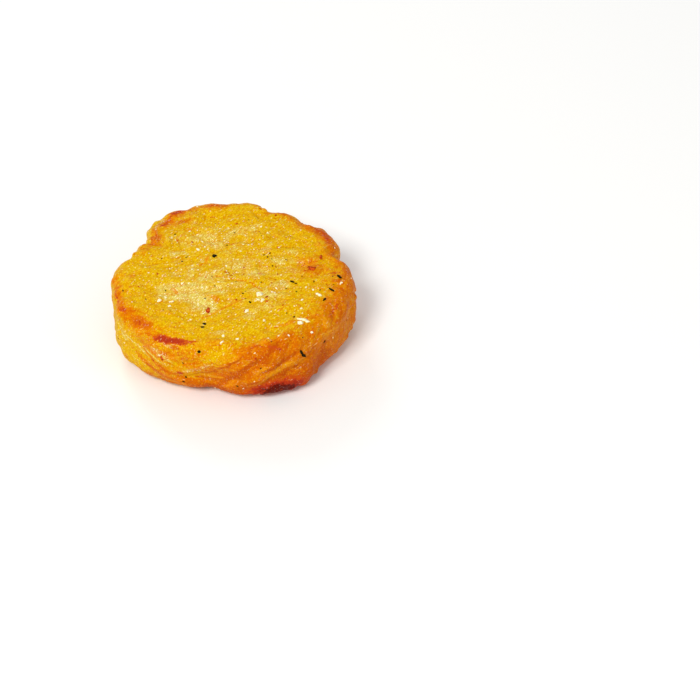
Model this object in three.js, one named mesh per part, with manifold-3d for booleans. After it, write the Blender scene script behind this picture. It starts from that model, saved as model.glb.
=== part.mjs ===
// A potato rosti: grated potato pressed into a thick round, then fried.
// One solid. The shreds show as low ridges that cross the faces and wrap round the rim, and the
// outline has the dents and lumps of a small puck that was never cut to a true circle. The largest
// scraps of herb and spice and the largest salt grains are fused to the crust they lie on.
// Millimetres, +Z up. The origin is the middle of the underside, and the puck lies on z = 0.
import * as THREE from "three";
import { mergeVertices } from "three/addons/utils/BufferGeometryUtils.js";
import Module from "manifold-3d";

// ---- Driving dimensions ----
const DIAMETER = 60;
const THICKNESS = 17;
const ROUNDING = 4.2; // radius of the rim, above and below
const DRAFT = 1.4; // how far the wall leans in from the shoulder down to the foot
const SIDE_BELLY = 0.5; // how far the middle of the wall swells out
const SAG = 0.7; // how far the middle of the underside is pressed down, which leaves it flat
const SAG_RADIUS = 8;
const MESH_DETAIL = 22; // each of the icosahedron's faces becomes (MESH_DETAIL + 1)² triangles

const RADIUS = DIAMETER / 2;
const FACE_RADIUS = RADIUS - ROUNDING;
const QUARTER_ARC = (ROUNDING * Math.PI) / 2;
const PROFILE_LENGTH = 2 * (FACE_RADIUS + QUARTER_ARC) + THICKNESS - 2 * ROUNDING;

// ---- Shreds ----
const SHRED_SEED = 20;
const SHRED_STEP = 1.5; // spacing of the points along a shred
const SHRED_LENGTH = [12, 34];
const FACE_HALF_WIDTH = [1.1, 2.3];
const WALL_HALF_WIDTH = [1.6, 3.0];
const SHRED_LIFT = [-0.26, 0.22]; // mean height of a shred's crest over the puck
const SHRED_DIP = 0.16; // how far the crest weaves up and down on its way over its neighbours
const SHRED_DIP_LENGTH = 11;
const SHRED_DEPTH = 0.55; // how far a shred's cross-section falls from its crest to its edge
const SHRED_SQUARENESS = 2.2; // 2 is a round back, and more is a flatter ribbon
const SHRED_BEND = 0.03; // most turn, in radians for each millimetre
const SHRED_REACH = 1.3; // how many half-widths from its middle a shred is still felt
const END_TAPER = 5; // length over which a shred's end sinks into its neighbours
const END_DROP = 0.5;
const BED_LEVEL = -0.5; // the starchy bed between the shreds, against the puck's surface
const WELD = 0.32; // how softly neighbouring shreds run together
const SHREDS_ON_TOP = 105;
const SHREDS_UNDERNEATH = 90;
const SHREDS_ON_WALL = 70;
const FACE_GRAIN = 0.2; // the way most shreds on a face lie, in radians from +X
const FACE_SPREAD = 0.5;
const WALL_GRAIN = 0.45; // the way they climb round the wall, in radians from level
const WALL_SPREAD = 0.35;
const STRAY_SHARE = 0.15; // share of the shreds on a face that lie any way at all
const FOLLOW_FROM = 0.55; // share of the face's radius past which shreds turn to follow the rim

// ---- Bumps: broad swells everywhere, and crumbs along the two rims ----
const SWELLS = { seed: 5, count: 70, radius: [4.5, 9], lift: [-0.3, 0.3], place: anywhere };
const CRUMBS = { seed: 6, count: 260, radius: [0.8, 2.0], lift: [0.1, 0.5], place: nearARim };

// ---- Outline: [azimuth in degrees, offset in mm, half-width in degrees], azimuth 0 is +X ----
const RIM_FEATURES = [
  [-4, 0.2, 9],
  [15, -2.4, 6],
  [32, 0.4, 6],
  [47, -1.2, 8],
  [69, -1.9, 6],
  [80, 0.6, 5],
  [93, -0.5, 5],
  [108, 0.6, 8],
  [119, 2.0, 7],
  [131, 1.2, 5],
  [145, -2.0, 5],
  [153, -3.0, 14],
  [161, -0.7, 4],
  [184, -0.8, 8],
  [215, -1.4, 12],
  [238, -0.8, 9],
  [262, -0.8, 8],
  [285, 0.5, 9],
  [318, -0.8, 10],
];
const FOOT_FEATURES = [
  [210, 2.4, 14],
  [236, 0.7, 8],
  [255, -2.6, 12],
  [304, 1.9, 12],
  [353, 1.4, 8],
  [35, -0.6, 22],
  [110, -0.8, 35],
];

// ---- Toppings large enough to feel: [azimuth in degrees, distance along the profile from the
// middle of the top, length, heading in degrees from the way round the puck] ----
const FLAKES = [
  [121, 7.3, 1.5, -78],
  [-15, 15.3, 1.7, 52],
  [-18, 25.5, 1.8, 68],
  [-7, 26.4, 1.8, 40],
  [-27, 25.2, 1.4, -15],
  [-58, 32.2, 1.6, -78],
  [-57, 33.3, 1.7, -46],
  [-110, 20.1, 1.4, -28],
  [-107, 29.4, 1.1, 48],
  [13, 24.6, 2.2, -19],
  [2, 19.8, 2.5, 64],
  [-114, 14.8, 2.2, -68],
];
const GRAINS = [
  [-152, 20.6, 1.5, -89],
  [-52, 11, 1.6, 39],
  [-59, 12.3, 1.3, -73],
  [-24, 23.1, 2.0, 64],
  [-48, 25.6, 2.4, -57],
];
const FLAKE_SLIMNESS = 0.5; // a flake's width over its length
const GRAIN_SLIMNESS = 0.8;
const TOPPING_HEIGHT = 0.9;
const TOPPING_SINK = 0.12; // how far its middle lies under the crust, so a third of it stands out

// ---- The plain puck: a flat disc with a round rim ----

// The point and outward normal at a distance along the profile, from the middle of the top face
// over the rim to the middle of the underside, on the side that faces the given azimuth.
function puckAt(distance, azimuth) {
  const below = distance > PROFILE_LENGTH / 2;
  const s = below ? PROFILE_LENGTH - distance : distance;
  const turn = THREE.MathUtils.clamp((s - FACE_RADIUS) / ROUNDING, 0, Math.PI / 2);
  const radius = Math.min(s, FACE_RADIUS) + ROUNDING * Math.sin(turn);
  const drop = Math.max(0, s - FACE_RADIUS - QUARTER_ARC);
  const height = THICKNESS - ROUNDING + ROUNDING * Math.cos(turn) - drop;
  const out = new THREE.Vector3(Math.cos(azimuth), Math.sin(azimuth), 0);
  const point = out.clone().multiplyScalar(radius).setZ(below ? THICKNESS - height : height);
  const normal = out.multiplyScalar(Math.sin(turn)).setZ(Math.cos(turn) * (below ? -1 : 1));
  return { point, normal };
}

// The point of the puck nearest to one close to its surface, with the normal there.
function nearestOnPuck(p) {
  const reach = Math.hypot(p.x, p.y);
  const inset = Math.min(reach, FACE_RADIUS);
  const core = new THREE.Vector3(p.x, p.y, 0).multiplyScalar(reach > 0 ? inset / reach : 0);
  core.z = THREE.MathUtils.clamp(p.z, ROUNDING, THICKNESS - ROUNDING);
  const normal = p.clone().sub(core).normalize();
  return { point: core.addScaledVector(normal, ROUNDING), normal };
}

// ---- Random draws, the same each time: a linear congruential generator, from 0 up to 1 ----

function drawsFrom(seed) {
  let state = seed;
  return () => {
    state = (state * 1664525 + 1013904223) % 4294967296;
    return state / 4294967296;
  };
}

function between([low, high], draw) {
  return low + (high - low) * draw();
}

// ---- Shreds: routes that walk over the puck ----

function layShred(start, heading, widths, draw) {
  const length = between(SHRED_LENGTH, draw);
  const bend = SHRED_BEND * (2 * draw() - 1);
  const halfWidth = between(widths, draw);
  const lift = between(SHRED_LIFT, draw);
  const phase = 2 * Math.PI * draw();
  let { point, normal } = start;
  const side = new THREE.Vector3(0, 0, 1).cross(normal);
  if (side.lengthSq() < 1e-6) side.set(1, 0, 0);
  const direction = side.normalize().applyAxisAngle(normal, heading);
  const points = [point];
  for (let walked = 0; walked < length; walked += SHRED_STEP) {
    ({ point, normal } = nearestOnPuck(point.clone().addScaledVector(direction, SHRED_STEP)));
    direction.addScaledVector(normal, -direction.dot(normal)).normalize();
    direction.applyAxisAngle(normal, bend * SHRED_STEP);
    points.push(point);
  }
  return { points, halfWidth, lift, phase, box: new THREE.Box3().setFromPoints(points) };
}

// A shred on a face: along the grain near the middle, and round with the rim near it.
function layFaceShred(onTop, draw) {
  const reach = FACE_RADIUS * Math.sqrt(draw());
  const azimuth = 2 * Math.PI * draw();
  const start = puckAt(onTop ? reach : PROFILE_LENGTH - reach, azimuth);
  const past = (reach / FACE_RADIUS - FOLLOW_FROM) / (1 - FOLLOW_FROM);
  const follow = THREE.MathUtils.clamp(past, 0, 1);
  const turn = THREE.MathUtils.euclideanModulo(azimuth + Math.PI - FACE_GRAIN, Math.PI);
  let heading = FACE_GRAIN + follow * (turn - Math.PI / 2) + FACE_SPREAD * (2 * draw() - 1);
  if (draw() < STRAY_SHARE) heading += Math.PI * (draw() - 0.5);
  return layShred(start, heading + Math.PI * Math.floor(2 * draw()), FACE_HALF_WIDTH, draw);
}

function layWallShred(draw) {
  const distance = FACE_RADIUS + (PROFILE_LENGTH - 2 * FACE_RADIUS) * draw();
  const start = puckAt(distance, 2 * Math.PI * draw());
  const heading = WALL_GRAIN + WALL_SPREAD * (2 * draw() - 1);
  return layShred(start, heading + Math.PI * Math.floor(2 * draw()), WALL_HALF_WIDTH, draw);
}

function layShreds() {
  const draw = drawsFrom(SHRED_SEED);
  const shreds = [];
  for (let i = 0; i < SHREDS_ON_TOP; i += 1) shreds.push(layFaceShred(true, draw));
  for (let i = 0; i < SHREDS_UNDERNEATH; i += 1) shreds.push(layFaceShred(false, draw));
  for (let i = 0; i < SHREDS_ON_WALL; i += 1) shreds.push(layWallShred(draw));
  return shreds;
}

// How high a shred stands over a point of the puck.
function shredHeight(shred, p, normal) {
  let best = Infinity;
  let along = 0;
  const { points } = shred;
  for (let i = 1; i < points.length; i += 1) {
    const line = new THREE.Line3(points[i - 1], points[i]);
    const t = line.closestPointToPointParameter(p, true);
    const gap = line.at(t, new THREE.Vector3()).sub(p);
    const across = Math.sqrt(Math.max(0, gap.lengthSq() - gap.dot(normal) ** 2));
    if (across < best) {
      best = across;
      along = (i - 1 + t) * SHRED_STEP;
    }
  }
  const toEnd = Math.min(along, (points.length - 1) * SHRED_STEP - along);
  const sunk = END_DROP * Math.max(0, 1 - toEnd / END_TAPER) ** 2;
  const dip = SHRED_DIP * Math.cos((2 * Math.PI * along) / SHRED_DIP_LENGTH + shred.phase);
  return shred.lift + dip - sunk - SHRED_DEPTH * (best / shred.halfWidth) ** SHRED_SQUARENESS;
}

function softMax(a, b) {
  const share = Math.max(0, WELD - Math.abs(a - b)) / WELD;
  return Math.max(a, b) + (share * share * WELD) / 4;
}

// ---- Bumps ----

function anywhere(u) {
  return PROFILE_LENGTH * u;
}

function nearARim(u) {
  const across = 2 * QUARTER_ARC * ((2 * u) % 1) - 0.6 * QUARTER_ARC;
  return u < 0.5 ? FACE_RADIUS + across : PROFILE_LENGTH - FACE_RADIUS - across;
}

function layBumps({ seed, count, radius, lift, place }) {
  const draw = drawsFrom(seed);
  return Array.from({ length: count }, () => {
    const { point } = puckAt(place(draw()), 2 * Math.PI * draw());
    return { point, radius: between(radius, draw), lift: between(lift, draw) };
  });
}

function bumpHeight(bump, p) {
  const away = bump.point.distanceToSquared(p) / bump.radius ** 2;
  return away < 4 ? bump.lift * Math.exp(-2 * away) : 0;
}

// ---- The whole relief ----

const shreds = layShreds();
const bumps = [...layBumps(SWELLS), ...layBumps(CRUMBS)];

function reliefAt(p, normal) {
  const reach = SHRED_REACH * Math.max(...WALL_HALF_WIDTH);
  let height = BED_LEVEL;
  for (const shred of shreds) {
    if (shred.box.distanceToPoint(p) > reach) continue;
    height = softMax(height, shredHeight(shred, p, normal));
  }
  return bumps.reduce((sum, bump) => sum + bumpHeight(bump, p), height);
}

// ---- The uneven whole ----

function offsetAt(azimuth, features) {
  return features.reduce((sum, [degrees, offset, halfWidth]) => {
    const turned = THREE.MathUtils.radToDeg(azimuth) - degrees;
    const away = THREE.MathUtils.euclideanModulo(turned + 180, 360) - 180;
    return sum + offset * Math.exp(-((away / halfWidth) ** 2));
  }, 0);
}

// Leans and swells the wall, dents the outline, and presses the underside flat on z = 0.
function settle(p) {
  const level = THREE.MathUtils.clamp(p.z / THICKNESS, 0, 1);
  const azimuth = Math.atan2(p.y, p.x);
  const belly = SIDE_BELLY * 4 * level * (1 - level);
  const foot = (offsetAt(azimuth, FOOT_FEATURES) - DRAFT) * (1 - level);
  const scale = 1 + (offsetAt(azimuth, RIM_FEATURES) + belly + foot) / RADIUS;
  const sag = SAG * Math.exp(-(p.x ** 2 + p.y ** 2) / SAG_RADIUS ** 2) * (1 - level);
  return p.set(p.x * scale, p.y * scale, Math.max(0, p.z - sag));
}

function crustPointAt(distance, azimuth) {
  const { point, normal } = puckAt(distance, azimuth);
  return { point: settle(point.clone().addScaledVector(normal, reliefAt(point, normal))), normal };
}

// ---- Solids ----

const wasm = await Module();
wasm.setup();

function onlyPositions(geometry) {
  geometry.deleteAttribute("normal");
  geometry.deleteAttribute("uv");
  return mergeVertices(geometry, 1e-4);
}

function asSolid(geometry) {
  const vertProperties = new Float32Array(geometry.getAttribute("position").array);
  const triVerts = new Uint32Array(geometry.getIndex().array);
  return new wasm.Manifold(new wasm.Mesh({ numProp: 3, vertProperties, triVerts }));
}

function asGeometry(solid) {
  const { vertProperties, triVerts } = solid.getMesh();
  const geometry = new THREE.BufferGeometry();
  geometry.setAttribute("position", new THREE.BufferAttribute(vertProperties, 3));
  geometry.setIndex(new THREE.BufferAttribute(triVerts, 1));
  return geometry;
}

function crustSolid() {
  const geometry = onlyPositions(new THREE.IcosahedronGeometry(1, MESH_DETAIL));
  const positions = geometry.getAttribute("position");
  const direction = new THREE.Vector3();
  for (let i = 0; i < positions.count; i += 1) {
    direction.fromBufferAttribute(positions, i);
    const polar = Math.atan2(Math.hypot(direction.x, direction.y), direction.z);
    const azimuth = Math.atan2(direction.y, direction.x);
    positions.setXYZ(i, ...crustPointAt((polar / Math.PI) * PROFILE_LENGTH, azimuth).point);
  }
  return asSolid(geometry);
}

// A piece on the crust: its own X runs along the heading, and its own Z out of the crust.
function toppingSolid(shape, [degrees, distance, length, headingDegrees], slimness) {
  const azimuth = THREE.MathUtils.degToRad(degrees);
  const { point, normal } = crustPointAt(distance, azimuth);
  const along = new THREE.Vector3(-Math.sin(azimuth), Math.cos(azimuth), 0);
  along.applyAxisAngle(normal, THREE.MathUtils.degToRad(headingDegrees));
  const across = normal.clone().cross(along);
  const place = new THREE.Matrix4().makeBasis(along, across, normal);
  place.setPosition(point.addScaledVector(normal, -TOPPING_SINK));
  const geometry = onlyPositions(shape);
  geometry.scale(length / 2, (length * slimness) / 2, TOPPING_HEIGHT / 2);
  return asSolid(geometry.applyMatrix4(place));
}

// A flake is a flat double pyramid on a hexagon, and a grain a rough ball.
function flakeSolid(row) {
  return toppingSolid(new THREE.SphereGeometry(1, 6, 2).rotateX(Math.PI / 2), row, FLAKE_SLIMNESS);
}

function grainSolid(row) {
  return toppingSolid(new THREE.IcosahedronGeometry(1, 0), row, GRAIN_SLIMNESS);
}

function rostiGeometry() {
  const toppings = [...FLAKES.map(flakeSolid), ...GRAINS.map(grainSolid)];
  const geometry = asGeometry(toppings.reduce((whole, piece) => whole.add(piece), crustSolid()));
  geometry.computeBoundingBox();
  const centre = geometry.boundingBox.getCenter(new THREE.Vector3());
  geometry.translate(-centre.x, -centre.y, -geometry.boundingBox.min.z);
  geometry.computeVertexNormals();
  return geometry;
}

// ---- Material ----

const friedPotato = new THREE.MeshStandardMaterial({
  name: "fried_potato",
  color: new THREE.Color().setRGB(0.89, 0.7, 0.2, THREE.SRGBColorSpace),
  roughness: 0.5,
  metalness: 0,
});

const rosti = new THREE.Mesh(rostiGeometry(), friedPotato);
rosti.name = "rosti";

const group = new THREE.Group();
group.add(rosti);

export default group;
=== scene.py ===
"""A fried potato rosti: one thick round of pressed grated potato, golden, with herb flecks.

The crust repeats the rule of the CAD solid (a puck, the shreds that lie over it, the dented
outline) on a mesh fine enough for the real surface, and adds what is smaller than the solid's
faces: the pebbling, the colour that the fat left with some painted light and shade in it, and
the herb, spice and salt that lie on it.
Lengths are millimetres until a mesh is made, and metres from there on. Azimuths are degrees from
+X in the tables and radians in the functions. A distance runs along the puck's profile, from the
middle of the top over the rim and down the wall to the middle of the underside.
"""

import math

import bmesh
import bpy
import numpy as np
from mathutils import Matrix, Quaternion, Vector, noise
from mathutils.bvhtree import BVHTree


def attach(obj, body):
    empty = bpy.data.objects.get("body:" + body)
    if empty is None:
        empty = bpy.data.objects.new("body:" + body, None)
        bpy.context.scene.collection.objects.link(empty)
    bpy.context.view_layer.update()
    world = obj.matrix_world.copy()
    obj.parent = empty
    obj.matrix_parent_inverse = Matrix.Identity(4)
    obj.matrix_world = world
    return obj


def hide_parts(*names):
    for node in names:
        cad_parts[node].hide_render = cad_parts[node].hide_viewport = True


MM = 0.001

# ---- The puck, as in the CAD source ----
DIAMETER = 60
THICKNESS = 17
ROUNDING = 4.2  # radius of the rim, above and below
DRAFT = 1.4  # how far the wall leans in from the shoulder down to the foot
SIDE_BELLY = 0.5  # how far the middle of the wall swells out
SAG = 0.7  # how far the middle of the underside is pressed down, which leaves it flat
SAG_RADIUS = 8

# ---- Its relief, as in the CAD source ----
SHRED_SEED = 20
SHRED_STEP = 1.5  # spacing of the points along a shred
SHRED_LENGTH = (12, 34)
FACE_HALF_WIDTH = (1.1, 2.3)
WALL_HALF_WIDTH = (1.6, 3.0)
SHRED_LIFT = (-0.26, 0.22)  # mean height of a shred's crest over the puck
SHRED_DIP = 0.16  # how far the crest weaves up and down on its way over its neighbours
SHRED_DIP_LENGTH = 11
SHRED_DEPTH = 0.55  # how far a shred's cross-section falls from its crest to its edge
SHRED_SQUARENESS = 2.2  # 2 is a round back, and more is a flatter ribbon
SHRED_BEND = 0.03  # most turn, in radians for each millimetre
SHRED_REACH = 1.3  # how many half-widths from its middle a shred is still felt
END_TAPER = 5  # length over which a shred's end sinks into its neighbours
END_DROP = 0.5
BED_LEVEL = -0.5  # the starchy bed between the shreds, against the puck's surface
WELD = 0.32  # how softly neighbouring shreds run together
SHREDS_ON_TOP = 105
SHREDS_ON_WALL = 70
SHREDS_UNDERNEATH = 90
FACE_GRAIN = 0.2  # the way most shreds on a face lie, in radians from +X
FACE_SPREAD = 0.5
WALL_GRAIN = 0.45  # the way they climb round the wall, in radians from level
WALL_SPREAD = 0.35
STRAY_SHARE = 0.15  # share of the shreds on a face that lie any way at all
FOLLOW_FROM = 0.55  # share of the face's radius past which shreds turn to follow the rim

SWELL_SEED = 5
SWELLS = 70
SWELL_RADIUS = (4.5, 9)
SWELL_LIFT = (-0.3, 0.3)
CRUMB_SEED = 6
CRUMBS = 260
CRUMB_RADIUS = (0.8, 2.0)
CRUMB_LIFT = (0.1, 0.5)

RADIUS = DIAMETER / 2
FACE_RADIUS = RADIUS - ROUNDING
QUARTER_ARC = ROUNDING * math.pi / 2
PROFILE_LENGTH = 2 * (FACE_RADIUS + QUARTER_ARC) + THICKNESS - 2 * ROUNDING
RIM = FACE_RADIUS + QUARTER_ARC / 2  # the middle of the upper rim, along the profile
MID_WALL = PROFILE_LENGTH / 2
LOWER_RIM = PROFILE_LENGTH - RIM

# ---- The outline, as in the CAD source: (azimuth, offset, half-width in degrees) ----
RIM_FEATURES = (
    (-4, 0.2, 9),
    (15, -2.4, 6),
    (32, 0.4, 6),
    (47, -1.2, 8),
    (69, -1.9, 6),
    (80, 0.6, 5),
    (93, -0.5, 5),
    (108, 0.6, 8),
    (119, 2.0, 7),
    (131, 1.2, 5),
    (145, -2.0, 5),
    (153, -3.0, 14),
    (161, -0.7, 4),
    (184, -0.8, 8),
    (215, -1.4, 12),
    (238, -0.8, 9),
    (262, -0.8, 8),
    (285, 0.5, 9),
    (318, -0.8, 10),
)
FOOT_FEATURES = (
    (210, 2.4, 14),
    (236, 0.7, 8),
    (255, -2.6, 12),
    (304, 1.9, 12),
    (353, 1.4, 8),
    (35, -0.6, 22),
    (110, -0.8, 35),
)

# ---- What lies on it: (azimuth, distance, length, heading in degrees from the way round the
# puck). The first 9 herbs, 3 spices and 5 grains are in the CAD source too. ----
HERBS = (
    (121, 7.3, 1.5, -78),
    (-15, 15.3, 1.7, 52),
    (-18, 25.5, 1.8, 68),
    (-7, 26.4, 1.8, 40),
    (-27, 25.2, 1.4, -15),
    (-58, 32.2, 1.6, -78),
    (-57, 33.3, 1.7, -46),
    (-110, 20.1, 1.4, -28),
    (-107, 29.4, 1.1, 48),
    (-110, 21.6, 1.0, 28),
    (-41, 34.9, 1.1, 53),
    (39, 10.7, 0.7, 50),
    (37, 12.2, 0.6, 60),
    (33, 10.7, 0.6, 120),
    (-116, 40.6, 0.8, 0),
    (-89, 39.5, 0.7, -25),
    (-69, 11.9, 0.8, -50),
    (-50, 23.3, 0.8, 20),
    (-50, 20.6, 0.5, 0),
    (-55, 29.2, 0.5, 0),
    (-170, 27.5, 0.6, 0),
    (159, 20.3, 0.6, 0),
    (-164, 5, 0.5, 0),
    (-130, 6.6, 0.5, 40),
    (-161, 17.3, 0.5, 0),
    (86, 16.2, 0.5, 0),
    (100, 20.5, 0.4, 0),
    (19, 15.3, 0.6, 50),
    (15, 11.5, 0.6, 0),
    (-20, 22.9, 0.5, 0),
    (-28, 8.2, 0.5, 0),
    (77, 21.3, 0.5, 0),
    (-6, 17.3, 0.5, 0),
)
SPICES = (
    (13, 24.6, 2.2, -19),
    (2, 19.8, 2.5, 64),
    (-114, 14.8, 2.2, -68),
    (-3, 6.9, 1.1, 60),
    (-49, 13.1, 1.2, 0),
    (-54, 14.3, 0.9, -36),
    (-126, 34.1, 1.5, -62),
    (0, 18, 0.9, 43),
    (40, 15.6, 0.7, 50),
    (62, 25.4, 0.8, 90),
    (85, 19.7, 0.8, 5),
    (-47, 18.3, 0.8, 10),
    (178, 18.5, 0.7, 0),
    (134, 18.8, 0.8, 80),
)
GRAINS = (
    (-152, 20.6, 1.5, -89),
    (-52, 11, 1.6, 39),
    (-59, 12.3, 1.3, -73),
    (-24, 23.1, 2.0, 64),
    (-48, 25.6, 2.4, -57),
    (-147, 18.6, 1.1, 57),
    (-154, 18.6, 1.0, 64),
    (-143, 20.1, 0.8, 0),
    (129, 12.3, 1.2, -81),
    (-21, 21.2, 0.8, 50),
    (-34, 20.6, 1.1, 0),
    (-41, 22.7, 1.0, 20),
    (-68, 19.8, 0.9, -38),
    (-77, 14.6, 1.3, 40),
    (-49, 29.4, 0.8, 25),
    (-66, 26.4, 0.8, 0),
    (-96, 24.3, 1.0, 67),
    (-96, 26.8, 0.9, 35),
    (-88, 25.1, 1.1, 68),
    (120, 18.9, 0.7, 0),
    (66, 20.6, 0.8, 71),
    (67, 12.3, 0.7, 0),
    (118, 13.8, 0.9, -85),
    (169, 10.1, 0.7, 39),
    (-131, 5, 0.7, 0),
    (-11, 27.1, 1.0, -27),
    (-19, 19.2, 0.9, 0),
    (-30, 12.6, 0.8, 60),
    (-72, 26.3, 0.6, 0),
    (58, 18.1, 0.7, 0),
    (-51, 26.0, 1.5, 30),
    (-47, 26.8, 1.3, -20),
    (-56, 13.2, 1.2, 10),
)

# ---- Patches that the fat browned, scorched or left pale, with painted shade at the foot and
#  painted highlight on the wall: (azimuth, distance, half-length, half-width, heading in degrees
#  from the way round the puck up towards the top, strength). A negative strength takes away. ----
BROWN_PATCHES = (
    (-152, RIM - 0.6, 8, 1.4, 0, 0.4),
    (-143, RIM + 0.2, 5, 1.5, 14, 0.6),
    (-166, RIM + 0.5, 9, 1.3, 0, 0.55),
    (-124, RIM + 1.4, 9, 2.6, 8, 0.1),
    (-158, MID_WALL + 1, 9, 6, 0, -0.5),
    (-138, MID_WALL + 2.5, 10, 2, -10, -0.3),
    (-132, MID_WALL + 2.3, 7.5, 0.7, -12, 0.9),
    (-134, MID_WALL - 3, 4, 1.6, 0, 0.3),
    (-99, MID_WALL - 5.5, 4, 1.6, 20, -0.35),
    (125, MID_WALL, 22, 7, 0, 0.3),
    (118, RIM - 2.4, 5, 1.7, 17, 1.0),
    (119, RIM - 6.4, 4, 1.2, -12, 0.5),
    (142, RIM - 3, 7, 2.0, 0, 0.7),
    (128, RIM + 1.6, 14, 2.6, 0, -0.45),
    (98, RIM - 2.2, 4, 1.3, 0, 0.7),
    (62, RIM - 2.2, 4, 1.0, 0, 0.5),
    (33, RIM - 1.5, 7, 2.2, 0, 1.0),
    (-6, RIM - 0.5, 9, 3, 0, 0.3),
    (6, 20, 5, 3, 0, 0.5),
    (-2, 18, 11, 10, 0, 0.24),
    (-30, RIM - 1.5, 9, 4.5, 0, 0.22),
    (-75, RIM - 0.8, 7, 1.8, 0, 0.5),
    (-75, RIM + 1.5, 12, 2.2, 0, 0.2),
    (-84, MID_WALL - 2, 7, 0.7, 34, 0.5),
    (-70, MID_WALL + 1, 8, 0.8, 36, 0.4),
    (-80, MID_WALL - 5, 7, 0.5, 31, 1.2),
    (-69, MID_WALL - 3.5, 6, 0.55, 20, 1.1),
    (-93, MID_WALL - 4, 7, 0.5, 37, 0.8),
    (-92, MID_WALL + 0.7, 6, 0.5, 45, 0.8),
    (-127, MID_WALL + 0.5, 7, 0.6, -21, 0.5),
    # The next three take the browning away under painted highlight streaks on the left wall.
    (-142, MID_WALL - 1.3, 6, 0.5, -14, -0.4),
    (-132, MID_WALL - 1.7, 6, 0.5, -10, -0.45),
    (-124, MID_WALL - 2.7, 5, 0.5, -18, -0.4),
    (-97, MID_WALL - 7.9, 4, 1.2, 0, -0.3),
    # The next three darken the foot at the front and the right: partly browning, partly painted
    # contact shadow at the foot.
    (-98, LOWER_RIM - 1, 16, 2.4, 0, 1.0),
    (-58, LOWER_RIM - 3, 13, 5, 0, 1.0),
    (-62, LOWER_RIM - 1, 12, 2.6, 0, 1.4),
    (60, MID_WALL, 14, 2.5, 10, 0.5),
    (95, RIM + 2, 9, 1.5, -8, 0.8),
    (140, MID_WALL + 2, 10, 1.5, 14, 0.6),
    (178, LOWER_RIM, 12, 2, 0, 0.7),
)
SCORCHES = (
    (-119, RIM - 0.7, 5.6, 0.9, 13, 1.2),
    (-128, RIM - 0.1, 2.2, 1.3, 0, 0.8),
    (-143, RIM, 4.5, 0.9, 16, 0.55),
    (-157, RIM + 0.2, 2.4, 0.7, 0, 0.75),
    (-170, RIM + 0.7, 4.0, 0.6, 0, 0.8),
    (118, RIM - 2.2, 3.8, 0.8, 17, 1.0),
    (129, RIM - 3.6, 1.8, 0.8, 0, 0.75),
    (142, RIM - 1.4, 2.6, 0.8, 0, 0.6),
    (-143, LOWER_RIM - 0.4, 8.0, 0.6, 0, 0.8),
    (-117, MID_WALL + 1.0, 1.0, 0.7, 0, 0.9),
    (98, RIM - 2.3, 2.6, 0.6, 0, 0.7),
    (100, RIM - 6.0, 2.2, 0.35, 0, 0.6),
    (62, RIM - 2.4, 2.0, 0.5, 0, 0.8),
    (31, RIM - 1.6, 5.5, 1.1, 0, 0.75),
    (-2, 26.0, 4.6, 0.6, -74, 0.7),
    (-77, RIM - 1.3, 2.6, 0.7, -10, 0.7),
    (-69, RIM + 0.3, 2.2, 0.6, -34, 0.7),
    (-82, RIM + 2.0, 3.2, 0.3, 36, 0.7),
    (-90, RIM + 3.6, 4.0, 0.3, 40, 0.6),
    (-30, RIM - 0.3, 5.0, 0.8, 6, 0.55),
    # The next two are the dark line and the dark patch at the foot: partly scorch, partly painted
    # contact shadow.
    (-92, LOWER_RIM - 0.3, 9.0, 0.8, 0, 0.8),
    (-69, LOWER_RIM - 2.2, 6.5, 2.8, 0, 2.6),
    (75, RIM + 1.6, 6.0, 0.8, 14, 0.8),
    (160, RIM + 2.2, 5.0, 0.7, -14, 0.7),
    (20, MID_WALL + 3, 7.0, 0.6, 18, 0.7),
)
PALE_AND_HIGHLIGHT_PATCHES = (
    # A pale line along a ridge of the wall, which is painted highlight.
    (-109, MID_WALL - 1.5, 6, 0.6, 28, 1.0),
    (-156, MID_WALL - 2, 8, 4, 0, 0.3),
    (-128, MID_WALL - 3.4, 3.2, 0.9, 0, 0.8),
    (133, RIM - 2.6, 6, 0.7, 8, 0.5),
    # The next five are painted highlights: pale streaks along the shreds of the left wall.
    (-154, MID_WALL - 1.7, 3.5, 0.5, -28, 0.45),
    (-142, MID_WALL - 1.3, 6, 0.45, -14, 0.5),
    (-132, MID_WALL - 1.7, 6, 0.45, -10, 0.5),
    (-124, MID_WALL - 2.7, 5, 0.45, -18, 0.55),
    (-122, MID_WALL - 6.4, 3, 0.4, 3, 0.7),
    (25, 22, 5, 4, 0, -0.20),
    (-25, 22, 7, 5, 0, -0.20),
    (175, 22, 6, 4, 0, -0.20),
    (85, 23, 9, 3, 0, -0.16),
)

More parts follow.
